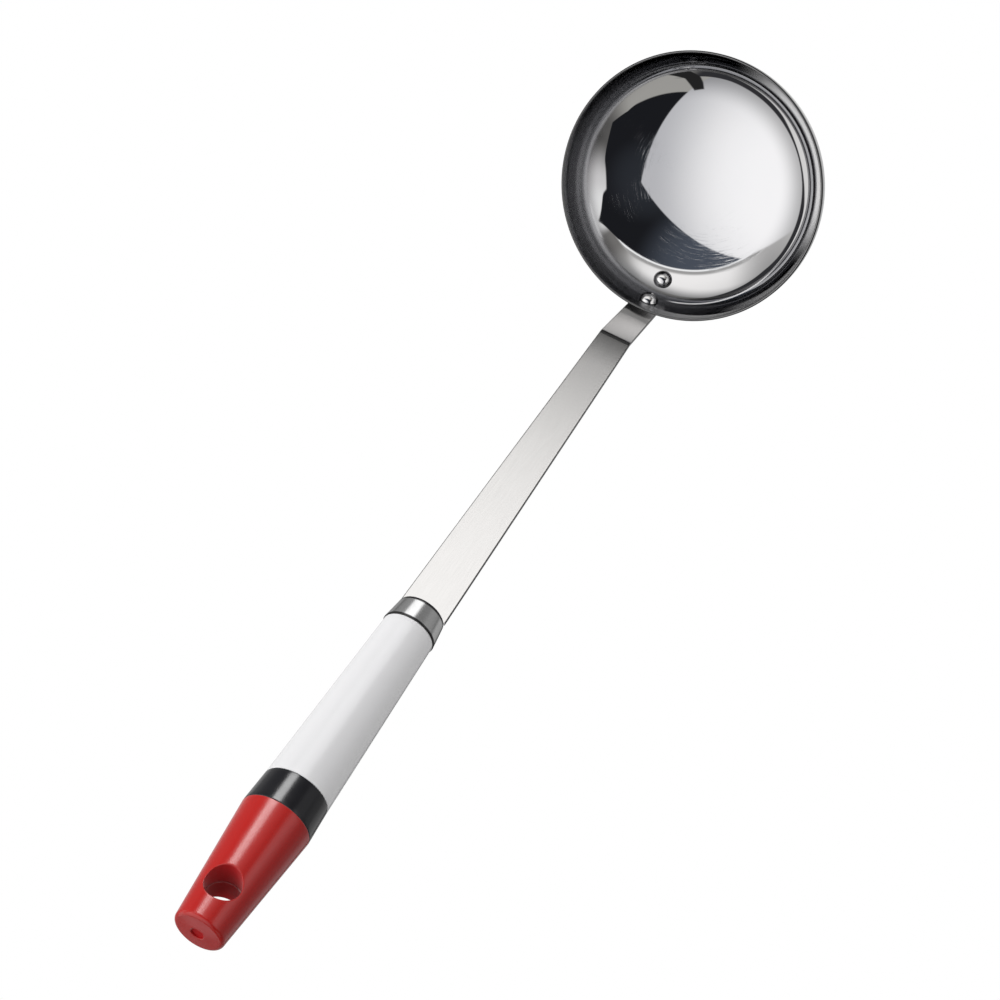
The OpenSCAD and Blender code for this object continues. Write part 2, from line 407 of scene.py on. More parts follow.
# Ferrule steel: pressed and polished softly, with painted shade lines at steps from its face, at its front
# edge and its rolled end
ferruleSteel = dict(
    colour=(0.56, 0.56, 0.56, 1),
    grazing=(0.6, 0.6, 0.6, 1),
    # the painted shade lines' colour, and where each starts and is full
    edgeColour=(0.05, 0.05, 0.05, 1),
    lowEdge=(0.0016, 0.0011),
    highEdge=(0.0082, 0.0086),
    rough=(0.2, 0.24),
    grainAlong=20.0,
    grain=(1800.0, 3.0, 0.6),
    grainBump=(0.15, 1e-6),
)


# the grain gives roughness and bump, and the greater of the two painted shade lines' shares gives the colour
def makeFerruleSteel():
    look = ferruleSteel
    tree = Finish("ferruleSteel", {"Metallic": 1.0, "Specular Tint": look["grazing"]})
    along = alongHandle(tree)
    # painted shade lines at the front edge and at the rolled end
    edges = tree.math("MAXIMUM", tree.zone(look, lowEdge=along), tree.zone(look, highEdge=along))
    grain = drawnGrain(tree, look)
    steel = tree.blend(edges, look["colour"], look["edgeColour"])
    rough = tree.ease(grain, *noiseSpan, *look["rough"])
    return tree.give(steel, rough, "Normal", tree.bump(grain, *look["grainBump"]))


# Strap steel: ground along the strap, with painted shade on its cut sides. Its upper face has painted shade
# beside the crease, most of all in a thin line along it. Steps are from the ferrule's face.
strapSteel = dict(
    colour=(0.60, 0.59, 0.58, 1),
    dull=(0.56, 0.55, 0.54, 1),
    # painted shade on the cut sides, and how far a face must look sideways to get it
    sideColour=(0.05, 0.05, 0.05, 1),
    sideFacing=(0.35, 0.75),
    # painted shade beside the crease, in a thin line along it, up to its end, on the upper face
    creaseColour=(0.07, 0.07, 0.07, 1),
    creaseShade=(-0.1155, -0.1325, 0.0, 0.72),
    creaseLine=(-0.1299, -0.1308),
    creaseEnd=(-0.1324, -0.1318),
    upFacing=(0.1, 0.4),
    rough=0.13,
    cloudScale=40.0,
    cloudRough=0.04,
    grainAlong=30.0,
    grain=(2600.0, 3.0, 0.6),
    grainRough=0.08,
    grainBump=(0.25, 1.5e-6),
)


# roughness = base + cloud's share + grain's share; the painted crease shade and then the painted side shade
# are blended over
def makeStrapSteel():
    look = strapSteel
    tree = Finish("strapSteel", {"Metallic": 1.0})
    grain = drawnGrain(tree, look)
    cloud = tree.noise(tree.place, look["cloudScale"])
    rough = tree.math("MULTIPLY_ADD", cloud, look["cloudRough"], look["rough"])
    rough = tree.math("MULTIPLY_ADD", grain, look["grainRough"], rough)
    facing = tree.split(tree.add("ShaderNodeTexCoord").outputs["Normal"])
    side = tree.zone(look, sideFacing=tree.math("ABSOLUTE", facing[1]))
    ground = tree.blend(grain, look["colour"], look["dull"])
    step = alongHandle(tree)
    # painted shade beside the crease on the upper face
    crease = tree.math("MAXIMUM", tree.zone(look, creaseShade=step), tree.zone(look, creaseLine=step))
    crease = tree.product(crease, tree.zone(look, creaseEnd=step, upFacing=facing[2]))
    ground = tree.blend(crease, ground, look["creaseColour"])
    # painted shade on the cut sides
    ground = tree.blend(side, ground, look["sideColour"])
    return tree.give(ground, rough, "Normal", tree.bump(grain, *look["grainBump"]))


# Rivet steel: bright, with the small flats that a hammer and a die leave
rivetSteel = dict(
    colour=(0.66, 0.655, 0.65, 1),
    dull=(0.6, 0.6, 0.6, 1),
    rough=(0.06, 0.14),
    roughScale=1500.0,
    dents=(700.0, 1.0),
    dentBump=(0.2, 1e-5),
)


# one noise gives the colour and the dents, and a finer one the roughness
def makeRivetSteel():
    look = rivetSteel
    tree = Finish("rivetSteel", {"Metallic": 1.0})
    dents = tree.noise(tree.place, *look["dents"])
    steel = tree.blend(dents, look["colour"], look["dull"])
    rough = tree.ease(tree.noise(tree.place, look["roughScale"]), *noiseSpan, *look["rough"])
    return tree.give(steel, rough, "Normal", tree.bump(dents, *look["dentBump"]))


# Moulded plastics: a faint mottle in the colour, uneven gloss and the skin left by the mould
plastics = dict(
    whitePlastic=dict(colour=(0.86, 0.86, 0.87, 1), shade=(0.85, 0.85, 0.86, 1), rough=(0.18, 0.21)),
    blackPlastic=dict(colour=(0.003, 0.003, 0.005, 1), shade=(0.005, 0.005, 0.007, 1), rough=(0.2, 0.23)),
    redPlastic=dict(colour=(0.385, 0.010, 0.008, 1), shade=(0.37, 0.009, 0.007, 1), rough=(0.22, 0.25)),
    redInside=dict(colour=(0.42, 0.012, 0.014, 1), shade=(0.4, 0.011, 0.013, 1), rough=(0.42, 0.5),
                   gloss=0.06),
)
mouldSkin = dict(mottle=(90.0, 3.0), uneven=(300.0, 3.0), pits=(500.0, 2.0), pitBump=(0.05, 4e-6))


# three noises give the colour, the roughness and the bump
def makePlastic(name):
    look = plastics[name]
    tree = Finish(name, {"IOR": 1.5, "Specular IOR Level": look.get("gloss", 0.5)})
    mottle, uneven, pits = (tree.noise(tree.place, *mouldSkin[part]) for part in ("mottle", "uneven", "pits"))
    colour = tree.blend(mottle, look["colour"], look["shade"])
    rough = tree.ease(uneven, *noiseSpan, *look["rough"])
    return tree.give(colour, rough, "Normal", tree.bump(pits, *mouldSkin["pitBump"]))


finish = dict(
    mirrorSteel=makeMirrorSteel(),
    ferruleSteel=makeFerruleSteel(),
    strapSteel=makeStrapSteel(),
    rivetSteel=makeRivetSteel(),
    **{name: makePlastic(name) for name in plastics},
)
print("finishes ready")

# The bowl's section: a wide floor arc, a tighter corner arc and a leaning wall, all touching. Rows of the
# floor stop a step short of the corner, in degrees, inside and outside.
bowlShape = dict(
    rimRadius=45.0,
    depth=26.5,
    floorRadius=70.0,
    cornerRadius=17.0,
    wallLean=5.0,
    sheet=0.8,
    around=256,
    joinSteps=(0.25, 0.5),
    rows=dict(floorInside=70, cornerInside=60, wall=9, lip=14, cornerOutside=34, floorOutside=36),
)


# the wall runs down from the mouth until the corner's middle is floorRadius - cornerRadius from the floor's:
# its length solves |start + length * down| = reach
def solveBowl(shape):
    lean = np.radians(shape["wallLean"])
    mouthRadius = shape["rimRadius"] - shape["sheet"] / np.cos(lean)
    floorMiddle = np.array([0, shape["floorRadius"] - shape["depth"]])
    square = np.array([-np.cos(lean), np.sin(lean)])
    down = np.array([-np.sin(lean), -np.cos(lean)])
    start = np.array([mouthRadius, 0]) + shape["cornerRadius"] * square - floorMiddle
    along, reach = start @ down, shape["floorRadius"] - shape["cornerRadius"]
    wallLength = np.sqrt(along ** 2 - start @ start + reach ** 2) - along
    cornerMiddle = floorMiddle + start + wallLength * down
    joinSlope = np.degrees(np.arctan2(cornerMiddle[0], floorMiddle[1] - cornerMiddle[1]))
    return floorMiddle, cornerMiddle, joinSlope


floorMiddle, cornerMiddle, joinSlope = solveBowl(bowlShape)


# place with a slope: middle of its arc + (arc radius + sheet offset) * (sin slope, -cos slope)
def sectionAt(slopes, offset):
    slopes = np.atleast_1d(np.asarray(slopes, float))[:, None]
    outward = np.concatenate([np.sin(np.radians(slopes)), -np.cos(np.radians(slopes))], 1)
    onFloor = floorMiddle + (bowlShape["floorRadius"] + offset) * outward
    onCorner = cornerMiddle + (bowlShape["cornerRadius"] + offset) * outward
    return np.where(slopes < joinSlope, onFloor, onCorner)


# turned outline: floor, corner and wall inside, half a circle over the lip, wall, corner and floor outside
def makeBowl():
    shape, lean, rows = bowlShape, bowlShape["wallLean"], bowlShape["rows"]
    lip = shape["sheet"] / 2
    lipMiddle = (shape["rimRadius"] - lip / np.cos(np.radians(lean)) - lip * np.tan(np.radians(lean)), -lip)
    inside = np.concatenate([np.linspace(0, joinSlope - shape["joinSteps"][0], rows["floorInside"]),
                             np.linspace(joinSlope, 90 - lean, rows["cornerInside"])])
    outside = np.concatenate([np.linspace(90 - lean, joinSlope, rows["cornerOutside"]),
                              np.linspace(joinSlope - shape["joinSteps"][1], 0, rows["floorOutside"])])
    inner, outer = sectionAt(inside, 0), sectionAt(outside, shape["sheet"])
    rim = arc(lipMiddle, lip, 180 - lean, -lean, rows["lip"])
    outline = np.concatenate([inner, straight(inner[-1], rim[0], rows["wall"])[1:-1], rim,
                              straight(rim[-1], outer[0], rows["wall"])[1:-1], outer])
    outline[[0, -1], 0] = 0
    return skin("bowlSkin", [turned(outline, shape["around"], inBowl)], finish["mirrorSteel"],
                "bowl")


makeBowl()

# The strap: hugs the bowl, runs up short and steep, bends at the crease and runs long to the ferrule.
# The margins are narrow faces beside its round edges.
strapShape = dict(
    thickness=1.5,
    edge=0.3,
    edgeAtTip=0.6,  # share of the half width
    flatMargin=0.25,
    sideMargin=0.15,
    gapToBowl=0.1,
    shortRise=67.4,
    shortLength=26.4,
    longLength=131.8,
    creaseRadius=1.2,
    lowHalf=5.0,
    topHalf=8.2,
    tangHalf=4.5,
    tangLength=91.25,
    endSlope=31.0,
    tipSlopes=(20, 34),
    rows=dict(trial=400, tip=16, hug=60, short=16, crease=9, long=60, tang=12, edge=5),
)
strapOffset = bowlShape["sheet"] + strapShape["gapToBowl"]


# the strap's inner face: the bowl's section at the strap's offset, a straight, an arc that touches both
# straights, and a straight to the ferrule and on to the tang's tip
def strapPath():
    shape, rows, steep = strapShape, strapShape["rows"], np.radians(strapShape["shortRise"])
    shortWay = np.array([np.cos(steep), np.sin(steep)])
    corner = sectionAt(shape["shortRise"], strapOffset)[0] + shape["shortLength"] * shortWay
    mouth = corner + shape["longLength"] * longWay + shape["thickness"] / 2 * underWay
    tip = corner + (shape["longLength"] + shape["tangLength"]) * longWay
    low = (sectionAt(shape["endSlope"], 0)[0] - mouth) @ longWay
    # the free end is round: stations are spaced by the cosine of the angle round it
    trial = np.linspace(*shape["tipSlopes"], rows["trial"])
    reach = (sectionAt(trial, strapOffset) - mouth) @ longWay
    tipReach = low - shape["lowHalf"] * np.cos(np.linspace(0, np.pi / 2, rows["tip"]))
    slopes = np.interp(tipReach, reach, trial)
    slopes = np.concatenate([slopes, np.linspace(slopes[-1], shape["shortRise"], rows["hug"])[1:]])
    hug = sectionAt(slopes, strapOffset)
    # the crease: on the outer side of the bend the inner face turns by creaseRadius + thickness
    bend = steep - rise
    radius = shape["creaseRadius"] + shape["thickness"]
    turn = steep - np.linspace(0, bend, rows["crease"])
    middle = corner - radius * np.tan(bend / 2) * shortWay + radius * np.array([shortWay[1], -shortWay[0]])
    crease = middle - radius * np.stack([np.sin(turn), -np.cos(turn)], -1)
    faceAt = corner + (shape["longLength"] - layout["seatGap"]) * longWay
    short = straight(hug[-1], crease[0], rows["short"])[1:-1]
    long = straight(crease[-1], faceAt, rows["long"])[1:]
    tang = straight(faceAt, tip, rows["tang"])
    inner = np.concatenate([hug, short, crease, long, tang])
    slope = np.concatenate([np.radians(slopes), np.full(len(short), steep), turn,
                            np.full(len(long) + len(tang), rise)])
    onTang = np.arange(len(inner)) >= len(inner) - len(tang)
    return inner, slope, onTang, (inner - mouth) @ longWay, low


# a rounded rectangle carried along the path: half its width is the strap's plan at each station,
# and its thickness runs outwards, square to the path
def makeStrap():
    shape = strapShape
    inner, slope, onTang, reach, low = strapPath()
    top = sectionAt(shape["shortRise"], strapOffset)[0]
    topOfShort = (top - sectionAt(shape["endSlope"], 0)[0]) @ longWay + low
    grown = np.clip((reach - topOfShort) / (-layout["seatGap"] - topOfShort), 0, 1)
    half = shape["lowHalf"] + (shape["topHalf"] - shape["lowHalf"]) * grown
    tipped = np.sqrt(np.clip(shape["lowHalf"] ** 2 - np.clip(low - reach, 0, None) ** 2, 0, None))
    half = np.where(reach < low, np.minimum(half, tipped), half)
    half = np.where(onTang, shape["tangHalf"], half)
    edge = np.minimum(shape["edge"], half * shape["edgeAtTip"])[:, None]
    thick, half, margin = shape["thickness"], half[:, None], shape["sideMargin"]
    turn = np.radians(np.linspace(0, 90, shape["rows"]["edge"]))
    flat = np.clip(half - edge - shape["flatMargin"], 0, None)
    side = half - edge
    over = [(flat, 0 * flat), (side, 0 * side)]
    over += [(side + edge * np.sin(a), edge - edge * np.cos(a)) for a in turn[1:]]
    over += [(half, edge + margin), (half, thick - edge - margin)]
    over += [(side + edge * np.cos(a), thick - edge + edge * np.sin(a)) for a in turn]
    over += [(flat, 0 * flat + thick)]
    back = [(-across, depth) for across, depth in over[::-1]]
    ring = over + [(0 * half, thick + 0 * half)] + back + [(0 * half, 0 * half)] + over[:1]
    across = np.concatenate([np.broadcast_to(a, half.shape) for a, _ in ring], 1)
    depth = np.concatenate([np.broadcast_to(d, half.shape) for _, d in ring], 1)
    x = inner[:, :1] + np.sin(slope)[:, None] * depth
    z = inner[:, 1:] - np.cos(slope)[:, None] * depth
    body = inBowl(x, across, z)
    ends = [np.stack([body[i], np.broadcast_to(body[i].mean(0), body[i].shape)]) for i in (0, -1)]
    return skin("strapSkin", [body] + ends, finish["strapSteel"], "shank")


makeStrap()

# Rivets: a domed head in the bowl, a body through sheet and strap, a low head behind, both with round skirts
rivetShape = dict(
    slopes=dict(innerRivetSkin=(31.0, "inner_rivet"), upperRivetSkin=(66.0, "upper_rivet")),
    bodyRadius=1.6,
    headRadius=3.1,
    headHeight=2.0,
    headInset=0.06,
    backRadius=2.5,
    backHeight=1.1,
    backInset=0.05,
    # the skirt's edge radius, how far it turns under, and its rows
    skirt=(0.1, 40, 5),
    standOff=0.383,
    backAt=2.5,
    around=72,
)


# dome outline: the part of a circle that has this radius and height above its flat side
def dome(radius, height, steps=18):
    ball = (radius ** 2 + height ** 2) / (2 * height)
    span = np.arcsin(radius / ball) if height < radius else np.pi - np.arcsin(radius / ball)
    angle = np.linspace(0, span, steps + 1)
    return np.stack([ball * np.sin(angle), height - ball + ball * np.cos(angle)], -1)


# head, skirt, body, skirt and head as one outline, turned round an axis square to the bowl at this slope
def makeRivet(name, slope, nodeName):
    shape = rivetShape
    (skirt, turn, rows), standOff, backAt = shape["skirt"], shape["standOff"], shape["backAt"]
    head = dome(shape["headRadius"] - shape["headInset"], shape["headHeight"] - skirt)
    head = head * [1, -1] - [0, standOff + skirt]
    headSkirt = arc((shape["headRadius"] - skirt, -standOff - skirt), skirt, -turn, 90, rows)
    backHead = dome(shape["backRadius"] - shape["backInset"], shape["backHeight"] - skirt)
    backHead = backHead + [0, backAt + skirt]
    backSkirt = arc((shape["backRadius"] - skirt, backAt + skirt), skirt, -90, turn, rows)
    body = [[shape["bodyRadius"], -standOff], [shape["bodyRadius"], backAt]]
    outline = np.concatenate([head[:-1], headSkirt, body, backSkirt, backHead[::-1][1:]])
    outline[[0, -1], 0] = 0
    foot = sectionAt(slope, 0)[0]
    lean = np.radians(slope)

    # foot + x along the section's slope + out square to it
    def place(x, y, out):
        return inBowl(foot[0] - x * np.cos(lean) + out * np.sin(lean), y,
                      foot[1] - x * np.sin(lean) - out * np.cos(lean))
    grid = turned(outline, shape["around"], place)
    return skin(name, [grid], finish["rivetSteel"], nodeName)


for rivetName, (rivetSlope, rivetNode) in rivetShape["slopes"].items():
    makeRivet(rivetName, rivetSlope, rivetNode)


# corners of (radius, along) with rounded turns, as one outline turned round the handle
def turnedPiece(name, shape, material, nodeName):
    outline = fineOutline(softOutline(shape["corners"], shape["radii"]), shape["reach"])
    grid = turned(outline, shape["around"], roundHandle)
    return skin(name, [grid], finish[material], nodeName)


# Ferrule: a pressed cup that widens towards the grip, with a rolled free edge
ferruleShape = dict(
    corners=[(0, 0), (8.0, 0), (9.2, 9.1), (8.6, 9.1), (7.45, 0.6), (0, 0.6)],
    radii=[1.0, 0.28, 0.28, 0.5],
    around=160,
    reach=0.7,
)
turnedPiece("ferruleSkin", ferruleShape, "ferruleSteel", "ferrule")

# Grip sleeve: a slim cone with a bore; its nose fills the ferrule
sleeveShape = dict(
    corners=[(6.0, 3.0), (6.0, 0.7), (7.3, 0.7), (8.304, 9.2), (8.9, 9.2), (11.3, 79.0), (6.0, 79.0),
             (6.0, 3.0)],
    radii=[0.1, 0.3, 0, 0.2, 0.2, 0.1],
    around=160,
    reach=2.5,
)
turnedPiece("sleeveSkin", sleeveShape, "whitePlastic", "grip_sleeve")

# Grip band: a ring that carries the cone on between the sleeve and the cap
bandShape = dict(
    corners=[(6.0, 85.0), (6.0, 79.1), (11.3, 79.1), (12.0, 91.1), (6.0, 91.1), (6.0, 85.0)],
    radii=[0.1, 0.2, 0.2, 0.1],
    around=160,
    reach=1.5,
)
turnedPiece("bandSkin", bandShape, "blackPlastic", "grip_band")

# End cap: a cone with a cross hole for hanging, a round edge, a low crown and a gate recess
capShape = dict(
    start=91.2,
    startRadius=12.0,
    coneEnd=135.4,
    endRadius=8.7,
    crown=0.5,
    edge=1.5,
    spigotStart=65.0,
    spigotRadius=5.9,
    footFillets=[0.5, 0.0, 0.2],
    holeRadius=5.9,
    holeEdge=0.45,
    # the parting ridge in the hole, and rows along it, by share of the hole's half length
    ridge=0.15,
    ridgeReach=0.055,
    tubeRows=(0, 0.015, 0.03, 0.05, 0.06, 0.12, 0.25, 0.4, 0.55, 0.7, 0.85, 1.0),
    # the patch round it: its ends along the cap, columns a side, and how columns and rows are spaced
    patch=(111.0, 133.0),
    side=64,
    spread=0.62,
    borderPull=1.15,
    recessRadius=2.3,
    recessDepth=0.9,
    recessFall=0.06,
    recessFillets=[0.2, 0.15],
    reach=1.2,
    rows=dict(edge=10, soft=7, border=23),
)


# start radius + its change over the cone * the share of the cone's length
def capRadius(along):
    share = (along - capShape["start"]) / (capShape["coneEnd"] - capShape["start"])
    return capShape["startRadius"] + (capShape["endRadius"] - capShape["startRadius"]) * share


# curve of t from 0 to 1: (1 - t)^2 * start + 2 t (1 - t) * corner + t^2 * end
def bow(start, corner, end, t):
    return (1 - t) ** 2 * start + 2 * t * (1 - t) * corner + t ** 2 * end


# half of the cone round the hole. Columns go round the hole and the patch's border, a rectangle of turn by
# length; rows run from the parting plane along the hole, over its soft edge and straight to the border
def holePatch(sign):
    shape, side = capShape, capShape["side"]
    low, high = shape["patch"]
    even = np.linspace(-1, 1, side + 1)
    borderTurn = np.concatenate([even, np.ones(side), even[::-1][1:], -np.ones(side)]) * np.pi / 2
    borderShare = np.concatenate([-np.ones(side), even, np.ones(side - 1), even[::-1]])
    borderAlong = (low + high) / 2 + borderShare * (high - low) / 2
    middle = layout["holeFromFerrule"]
    angle = np.arctan2(borderAlong - middle, borderTurn * capRadius(middle) * shape["spread"])
    cosine, sine = np.cos(angle), np.sin(angle)

    # height of the cone over the plane through its axis, at a step across and along
    def coneHeight(across, along):
        return np.sqrt(capRadius(along) ** 2 - across ** 2)
    radius, soft = shape["holeRadius"], shape["holeEdge"]
    edgeHeight = coneHeight(radius * cosine, middle + radius * sine)
    outer = radius + soft
    ringHeight = coneHeight(outer * cosine, middle + outer * sine)
    deep = np.array(shape["tubeRows"])[:, None]
    inset = 0 * deep
    if sign > 0:
        inset = shape["ridge"] * (1 - np.clip(deep / shape["ridgeReach"], 0, 1)) ** 0.5
    tube = radius - inset + 0 * cosine
    rows = [onHandle(middle + tube * sine, sign * deep * (edgeHeight - soft), tube * cosine)]
    t = np.linspace(0, 1, shape["rows"]["soft"])[1:, None]
    spread = bow(radius, radius, outer, t)
    height = bow(edgeHeight - soft, edgeHeight, ringHeight, t)
    rows.append(onHandle(middle + spread * sine, sign * height, spread * cosine))
    ringTurn = np.arcsin(outer * cosine / capRadius(middle + outer * sine))
    v = np.linspace(0, 1, shape["rows"]["border"])[1:, None] ** shape["borderPull"]
    turn = ringTurn + (borderTurn - ringTurn) * v
    along = middle + outer * sine + (borderAlong - middle - outer * sine) * v
    rows.append(onHandle(along, sign * capRadius(along) * np.cos(turn), capRadius(along) * np.sin(turn)))
    return np.concatenate(rows)


# turned outlines: spigot, seat and cone up to the patches, and cone, edge, crown and recess beyond them
def makeCap():
    shape = capShape
    low, high = shape["patch"]
    start, edge, spigot, recess = (shape[name] for name in ("start", "edge", "spigotRadius", "recessRadius"))
    end = shape["coneEnd"] + edge + shape["crown"]
    foot = softOutline([(0, shape["spigotStart"]), (spigot, shape["spigotStart"]), (spigot, start),
                        (shape["startRadius"], start), (capRadius(low), low)], shape["footFillets"])
    flat = shape["endRadius"] - edge
    butt = arc((flat, shape["coneEnd"]), edge, 0, 90, shape["rows"]["edge"])
    floor = end - shape["recessDepth"]
    top = softOutline([(flat, end - shape["crown"]), (recess, end - shape["recessFall"]), (recess, floor),
                       (0, floor)], shape["recessFillets"])
    head = np.concatenate([[(capRadius(high), high)], butt, top[1:]])
    grids = [turned(fineOutline(outline, shape["reach"]), 2 * shape["side"], roundHandle, -90.0)
             for outline in (foot, head)]
    grids += [holePatch(sign) for sign in (1, -1)]
    cap = skin("capSkin", grids, finish["redPlastic"], "end_cap")
    # the faces of the hole's wall and of the recess lie within their radii of their own middle lines
    near = 0.02
    cap.data.materials.append(finish["redInside"])
    centres = np.empty(3 * len(cap.data.polygons))
    cap.data.polygons.foreach_get("center", centres)
    centres = centres.reshape(-1, 3) / mm
    along = centres[:, [0, 2]] @ longWay
    inHole = np.hypot(centres[:, 1], along) < shape["holeRadius"] + near
    off = np.hypot(centres[:, 1], centres[:, [0, 2]] @ underWay)
    inRecess = (off < recess + near) & (along + layout["holeFromFerrule"] > floor - near)
    cap.data.polygons.foreach_set("material_index", (inHole | inRecess).astype(np.int32))
    return cap


makeCap()

# The pin in the tang keeps its own solid and takes the rivets' steel
pin = frame["nodes"]["tang_pin"]
pin.data.materials.clear()
pin.data.materials.append(finish["rivetSteel"])

# Camera: the place, line of sight and upright of the photograph, with a long lens
view = dict(
    place=(-0.45934075, 0.31364922, 1.19035857),
    sight=(0.24629616, -0.22380606, -0.94300003),
    upright=(-0.8929351, -0.43070419, -0.13099923),
    lens=157.04,
    sensor=36.0,
    clip=(0.05, 50.0),
)


# columns of the matrix: right = up x back, up, back and the place
def stand(piece, up, back, place):
    axes = np.eye(4)
    axes[:3, 0], axes[:3, 1], axes[:3, 2], axes[:3, 3] = np.cross(up, back), up, back, place
    piece.matrix_world = Matrix(axes.tolist())


# it looks along its sight, so its back is -sight
def makeCamera():
    data = bpy.data.cameras.new("photoCamera")
    data.lens, data.sensor_width, data.sensor_fit = view["lens"], view["sensor"], "HORIZONTAL"
    data.clip_start, data.clip_end = view["clip"]
    camera = newObject("photoCamera", data)
    stand(camera, view["upright"], -np.array(view["sight"]), view["place"])
    bpy.context.scene.camera = camera


makeCamera()
bpy.context.scene.view_settings.view_transform = "Standard"

# Studio: soft boxes and dark gaps laid out on a sky of directions. A place on it is (degrees from overhead,
# degrees round from +X). Steel halves what it mirrors, so the panels are brighter than white.
black = (0, 0, 0, 1)
studio = dict(
    backdrop=(1.0, 1.0, 1.0, 1),
    gap=(0.018, 0.019, 0.023, 1),
    gapPale=(0.12, 0.14, 0.18, 1),
    gapOverhead=(0.04, 0.045, 0.055, 1),
    gapBorder=(1.6, 1.6, 1.6, 1),
    gapShade=(0.6, 0.59, 0.58, 1),
    keyNear=(0.85, 0.85, 0.88, 1),
    keyFar=(1.69, 1.67, 1.67, 1),
    upperPanel=(1.55, 1.52, 1.5, 1),
    upperLow=(0.45, 0.45, 0.45, 1),
    underKey=(1.2, 1.18, 1.16, 1),
    underSide=(0.3, 0.3, 0.3, 1),
    warmPanel=(0.59, 0.575, 0.54, 1),
    sideDark=(0.17, 0.165, 0.16, 1),
    sidePanel=(1.05, 1.03, 1.03, 1),
    stripPanel=(1.32, 1.31, 1.3, 1),
    stripLow=(1.4, 1.4, 1.4, 1),
    stripFoot=(0.45, 0.45, 0.45, 1),
    greyPanel=(0.29, 0.28, 0.27, 1),
    turnPanel=(1.1, 1.08, 1.06, 1),
    farLine=(0.05, 0.05, 0.055, 1),
    card=(0.03, 0.03, 0.03, 1),
    behindBowl=(0.18, 0.18, 0.18, 1),
    besideHandle=(0.05, 0.05, 0.055, 1),
    buttPanel=(1.6, 1.6, 1.64, 1),
    below=(0.28, 0.28, 0.28, 1),
    wallShade=0.3,
    offMatt=0.15,
)
# each plane goes through its first three places, and its fourth is on its positive side
planes = dict(
    keyUpper=((23.5, 105.8), (20.7, -165.7), (50.4, -112.1), (30, -40)),
    keyLower=((23.5, 105.8), (36.3, 40.1), (54.0, 15.2), (30, -40)),
    keyTop=((51.0, -112.2), (56.5, -99.3), (67.5, -84.2), (30, -40)),
    farInner=((67.0, -105.0), (71.4, -58.0), (66.8, -2.0), (20, -60)),
    farOuter=((79.8, -107.1), (72.4, -58.0), (78.7, -2.4), (20, -60)),
    farEnd=((66.5, -103.0), (72.5, -120.0), (79.0, -137.0), (85, -95)),
    gapUpper=((50.9, -112.5), (43.4, -168.5), (45.5, 150.7), (32, 90)),
    gapRight=((45.4, 133.0), (43.8, 99.4), (64.2, 68.7), (32, 90)),
    gapFar=((64.2, 68.7), (58.5, 62.6), (52.9, 55.6), (32, 90)),
    gapNear=((52.9, 55.6), (53.1, 30.6), (53.6, 15.2), (32, 90)),
    spikeUpper=((43.7, 157.6), (58.2, 140.8), (69.4, 135.6), (57, 133)),
    spikeLower=((69.1, 135.0), (53.0, 127.2), (43.8, 116.5), (57, 133)),
    stripLeft=((20, 123), (70, 123), (120, 123), (80, 135)),
    stripRight=((20, 146), (70, 146), (120, 146), (80, 135)),
)
# each panel's soft border, and the planes that bound it
panels = dict(
    key=(0.006, "keyUpper", "keyLower"),
    keyTop=(0.012, "keyTop"),
    gapFar=(0.006, "gapUpper", "gapRight", "gapFar"),
    gapNear=(0.006, "gapUpper", "gapRight", "gapNear"),
    spike=(0.008, "spikeUpper", "spikeLower"),
    strip=(0.03, "stripLeft", "stripRight"),
    card=(0.008, "card1", "card2", "card3", "card4"),
)
# the small card's edges: great circles through two corners, so the third place is opposite the first
cardCorners = [(68.8, 20.7), (54.9, 11.9), (56.9, 6.4), (60.9, 7.1), (69.7, 10.8)]
for edge, a, b in zip(panels["card"][1:], cardCorners, cardCorners[1:]):
    planes[edge] = (a, b, (180 - a[0], a[1] + 180), (58.9, 10.6))
# soft round spots: their middle, how many degrees from it they are still full, and where they end
spots = dict(
    upperPanel=((56, -145), 10, 42),
    upperLow=((75, -145), 36, 60),
    wallShade=((69, -96), 3, 28),
    spike=((46, 135), 24, 26),
    gapPale=((46, -130), 4, 44),
    gapOverhead=((20, 100), 1, 26),
    keyFar=((52, -66), 5, 70),
    farLine=((72, -62), 66, 80),
    underKey=((77, -66), 10, 60),
    behindBowl=((88, 193), 20, 60),
    besideHandle=((88, 25), 30, 50),
    buttPanel=((95.5, -13), 16, 24),
)
spans = dict(
    # turns in degrees where a panel of the room starts and is full
    sideDark=(50, 72),
    sideFrom=(76, 80),
    sidePanel=(80, 108),
    stripPanel=(106, 122),
    greyPanel=(138, 146),
    turnPanel=(154, 184),
    otherSide=(-8, -12),
    # heights, as the sine of the angle over the horizon; a third and fourth number are the shares there
    sideFall=(0.6, 0.1, 0.0, 0.35),
    upperFall=(0.66, 0.1),
    stripTop=(0.27, 0.18),
    stripFoot=(-0.04, 0.03),
    behindBowl=(0.15, 0.03),
    besideHandle=(0.2, 0.14),
    buttPanel=(0.02, -0.02),
    below=(-0.08, -0.10),
    # distances from a plane
    besideGap=(0.0, 0.02),
    gapShade=(-0.055, -0.03),
    gapBorder=(-0.018, -0.01),
    keyFade=(0.22, -0.02, 0.0, 0.5),
    farLine=(0.006, -0.006),
    farEnd=(-0.012, 0.004),
    farOuter=(-0.012, 0.002),
)


# a direction that leans this far from overhead and stands this far round
def direction(lean, turn):
    lean, turn = np.radians(lean), np.radians(turn)
    return np.array([np.sin(lean) * np.cos(turn), np.sin(lean) * np.sin(turn), np.cos(lean)])


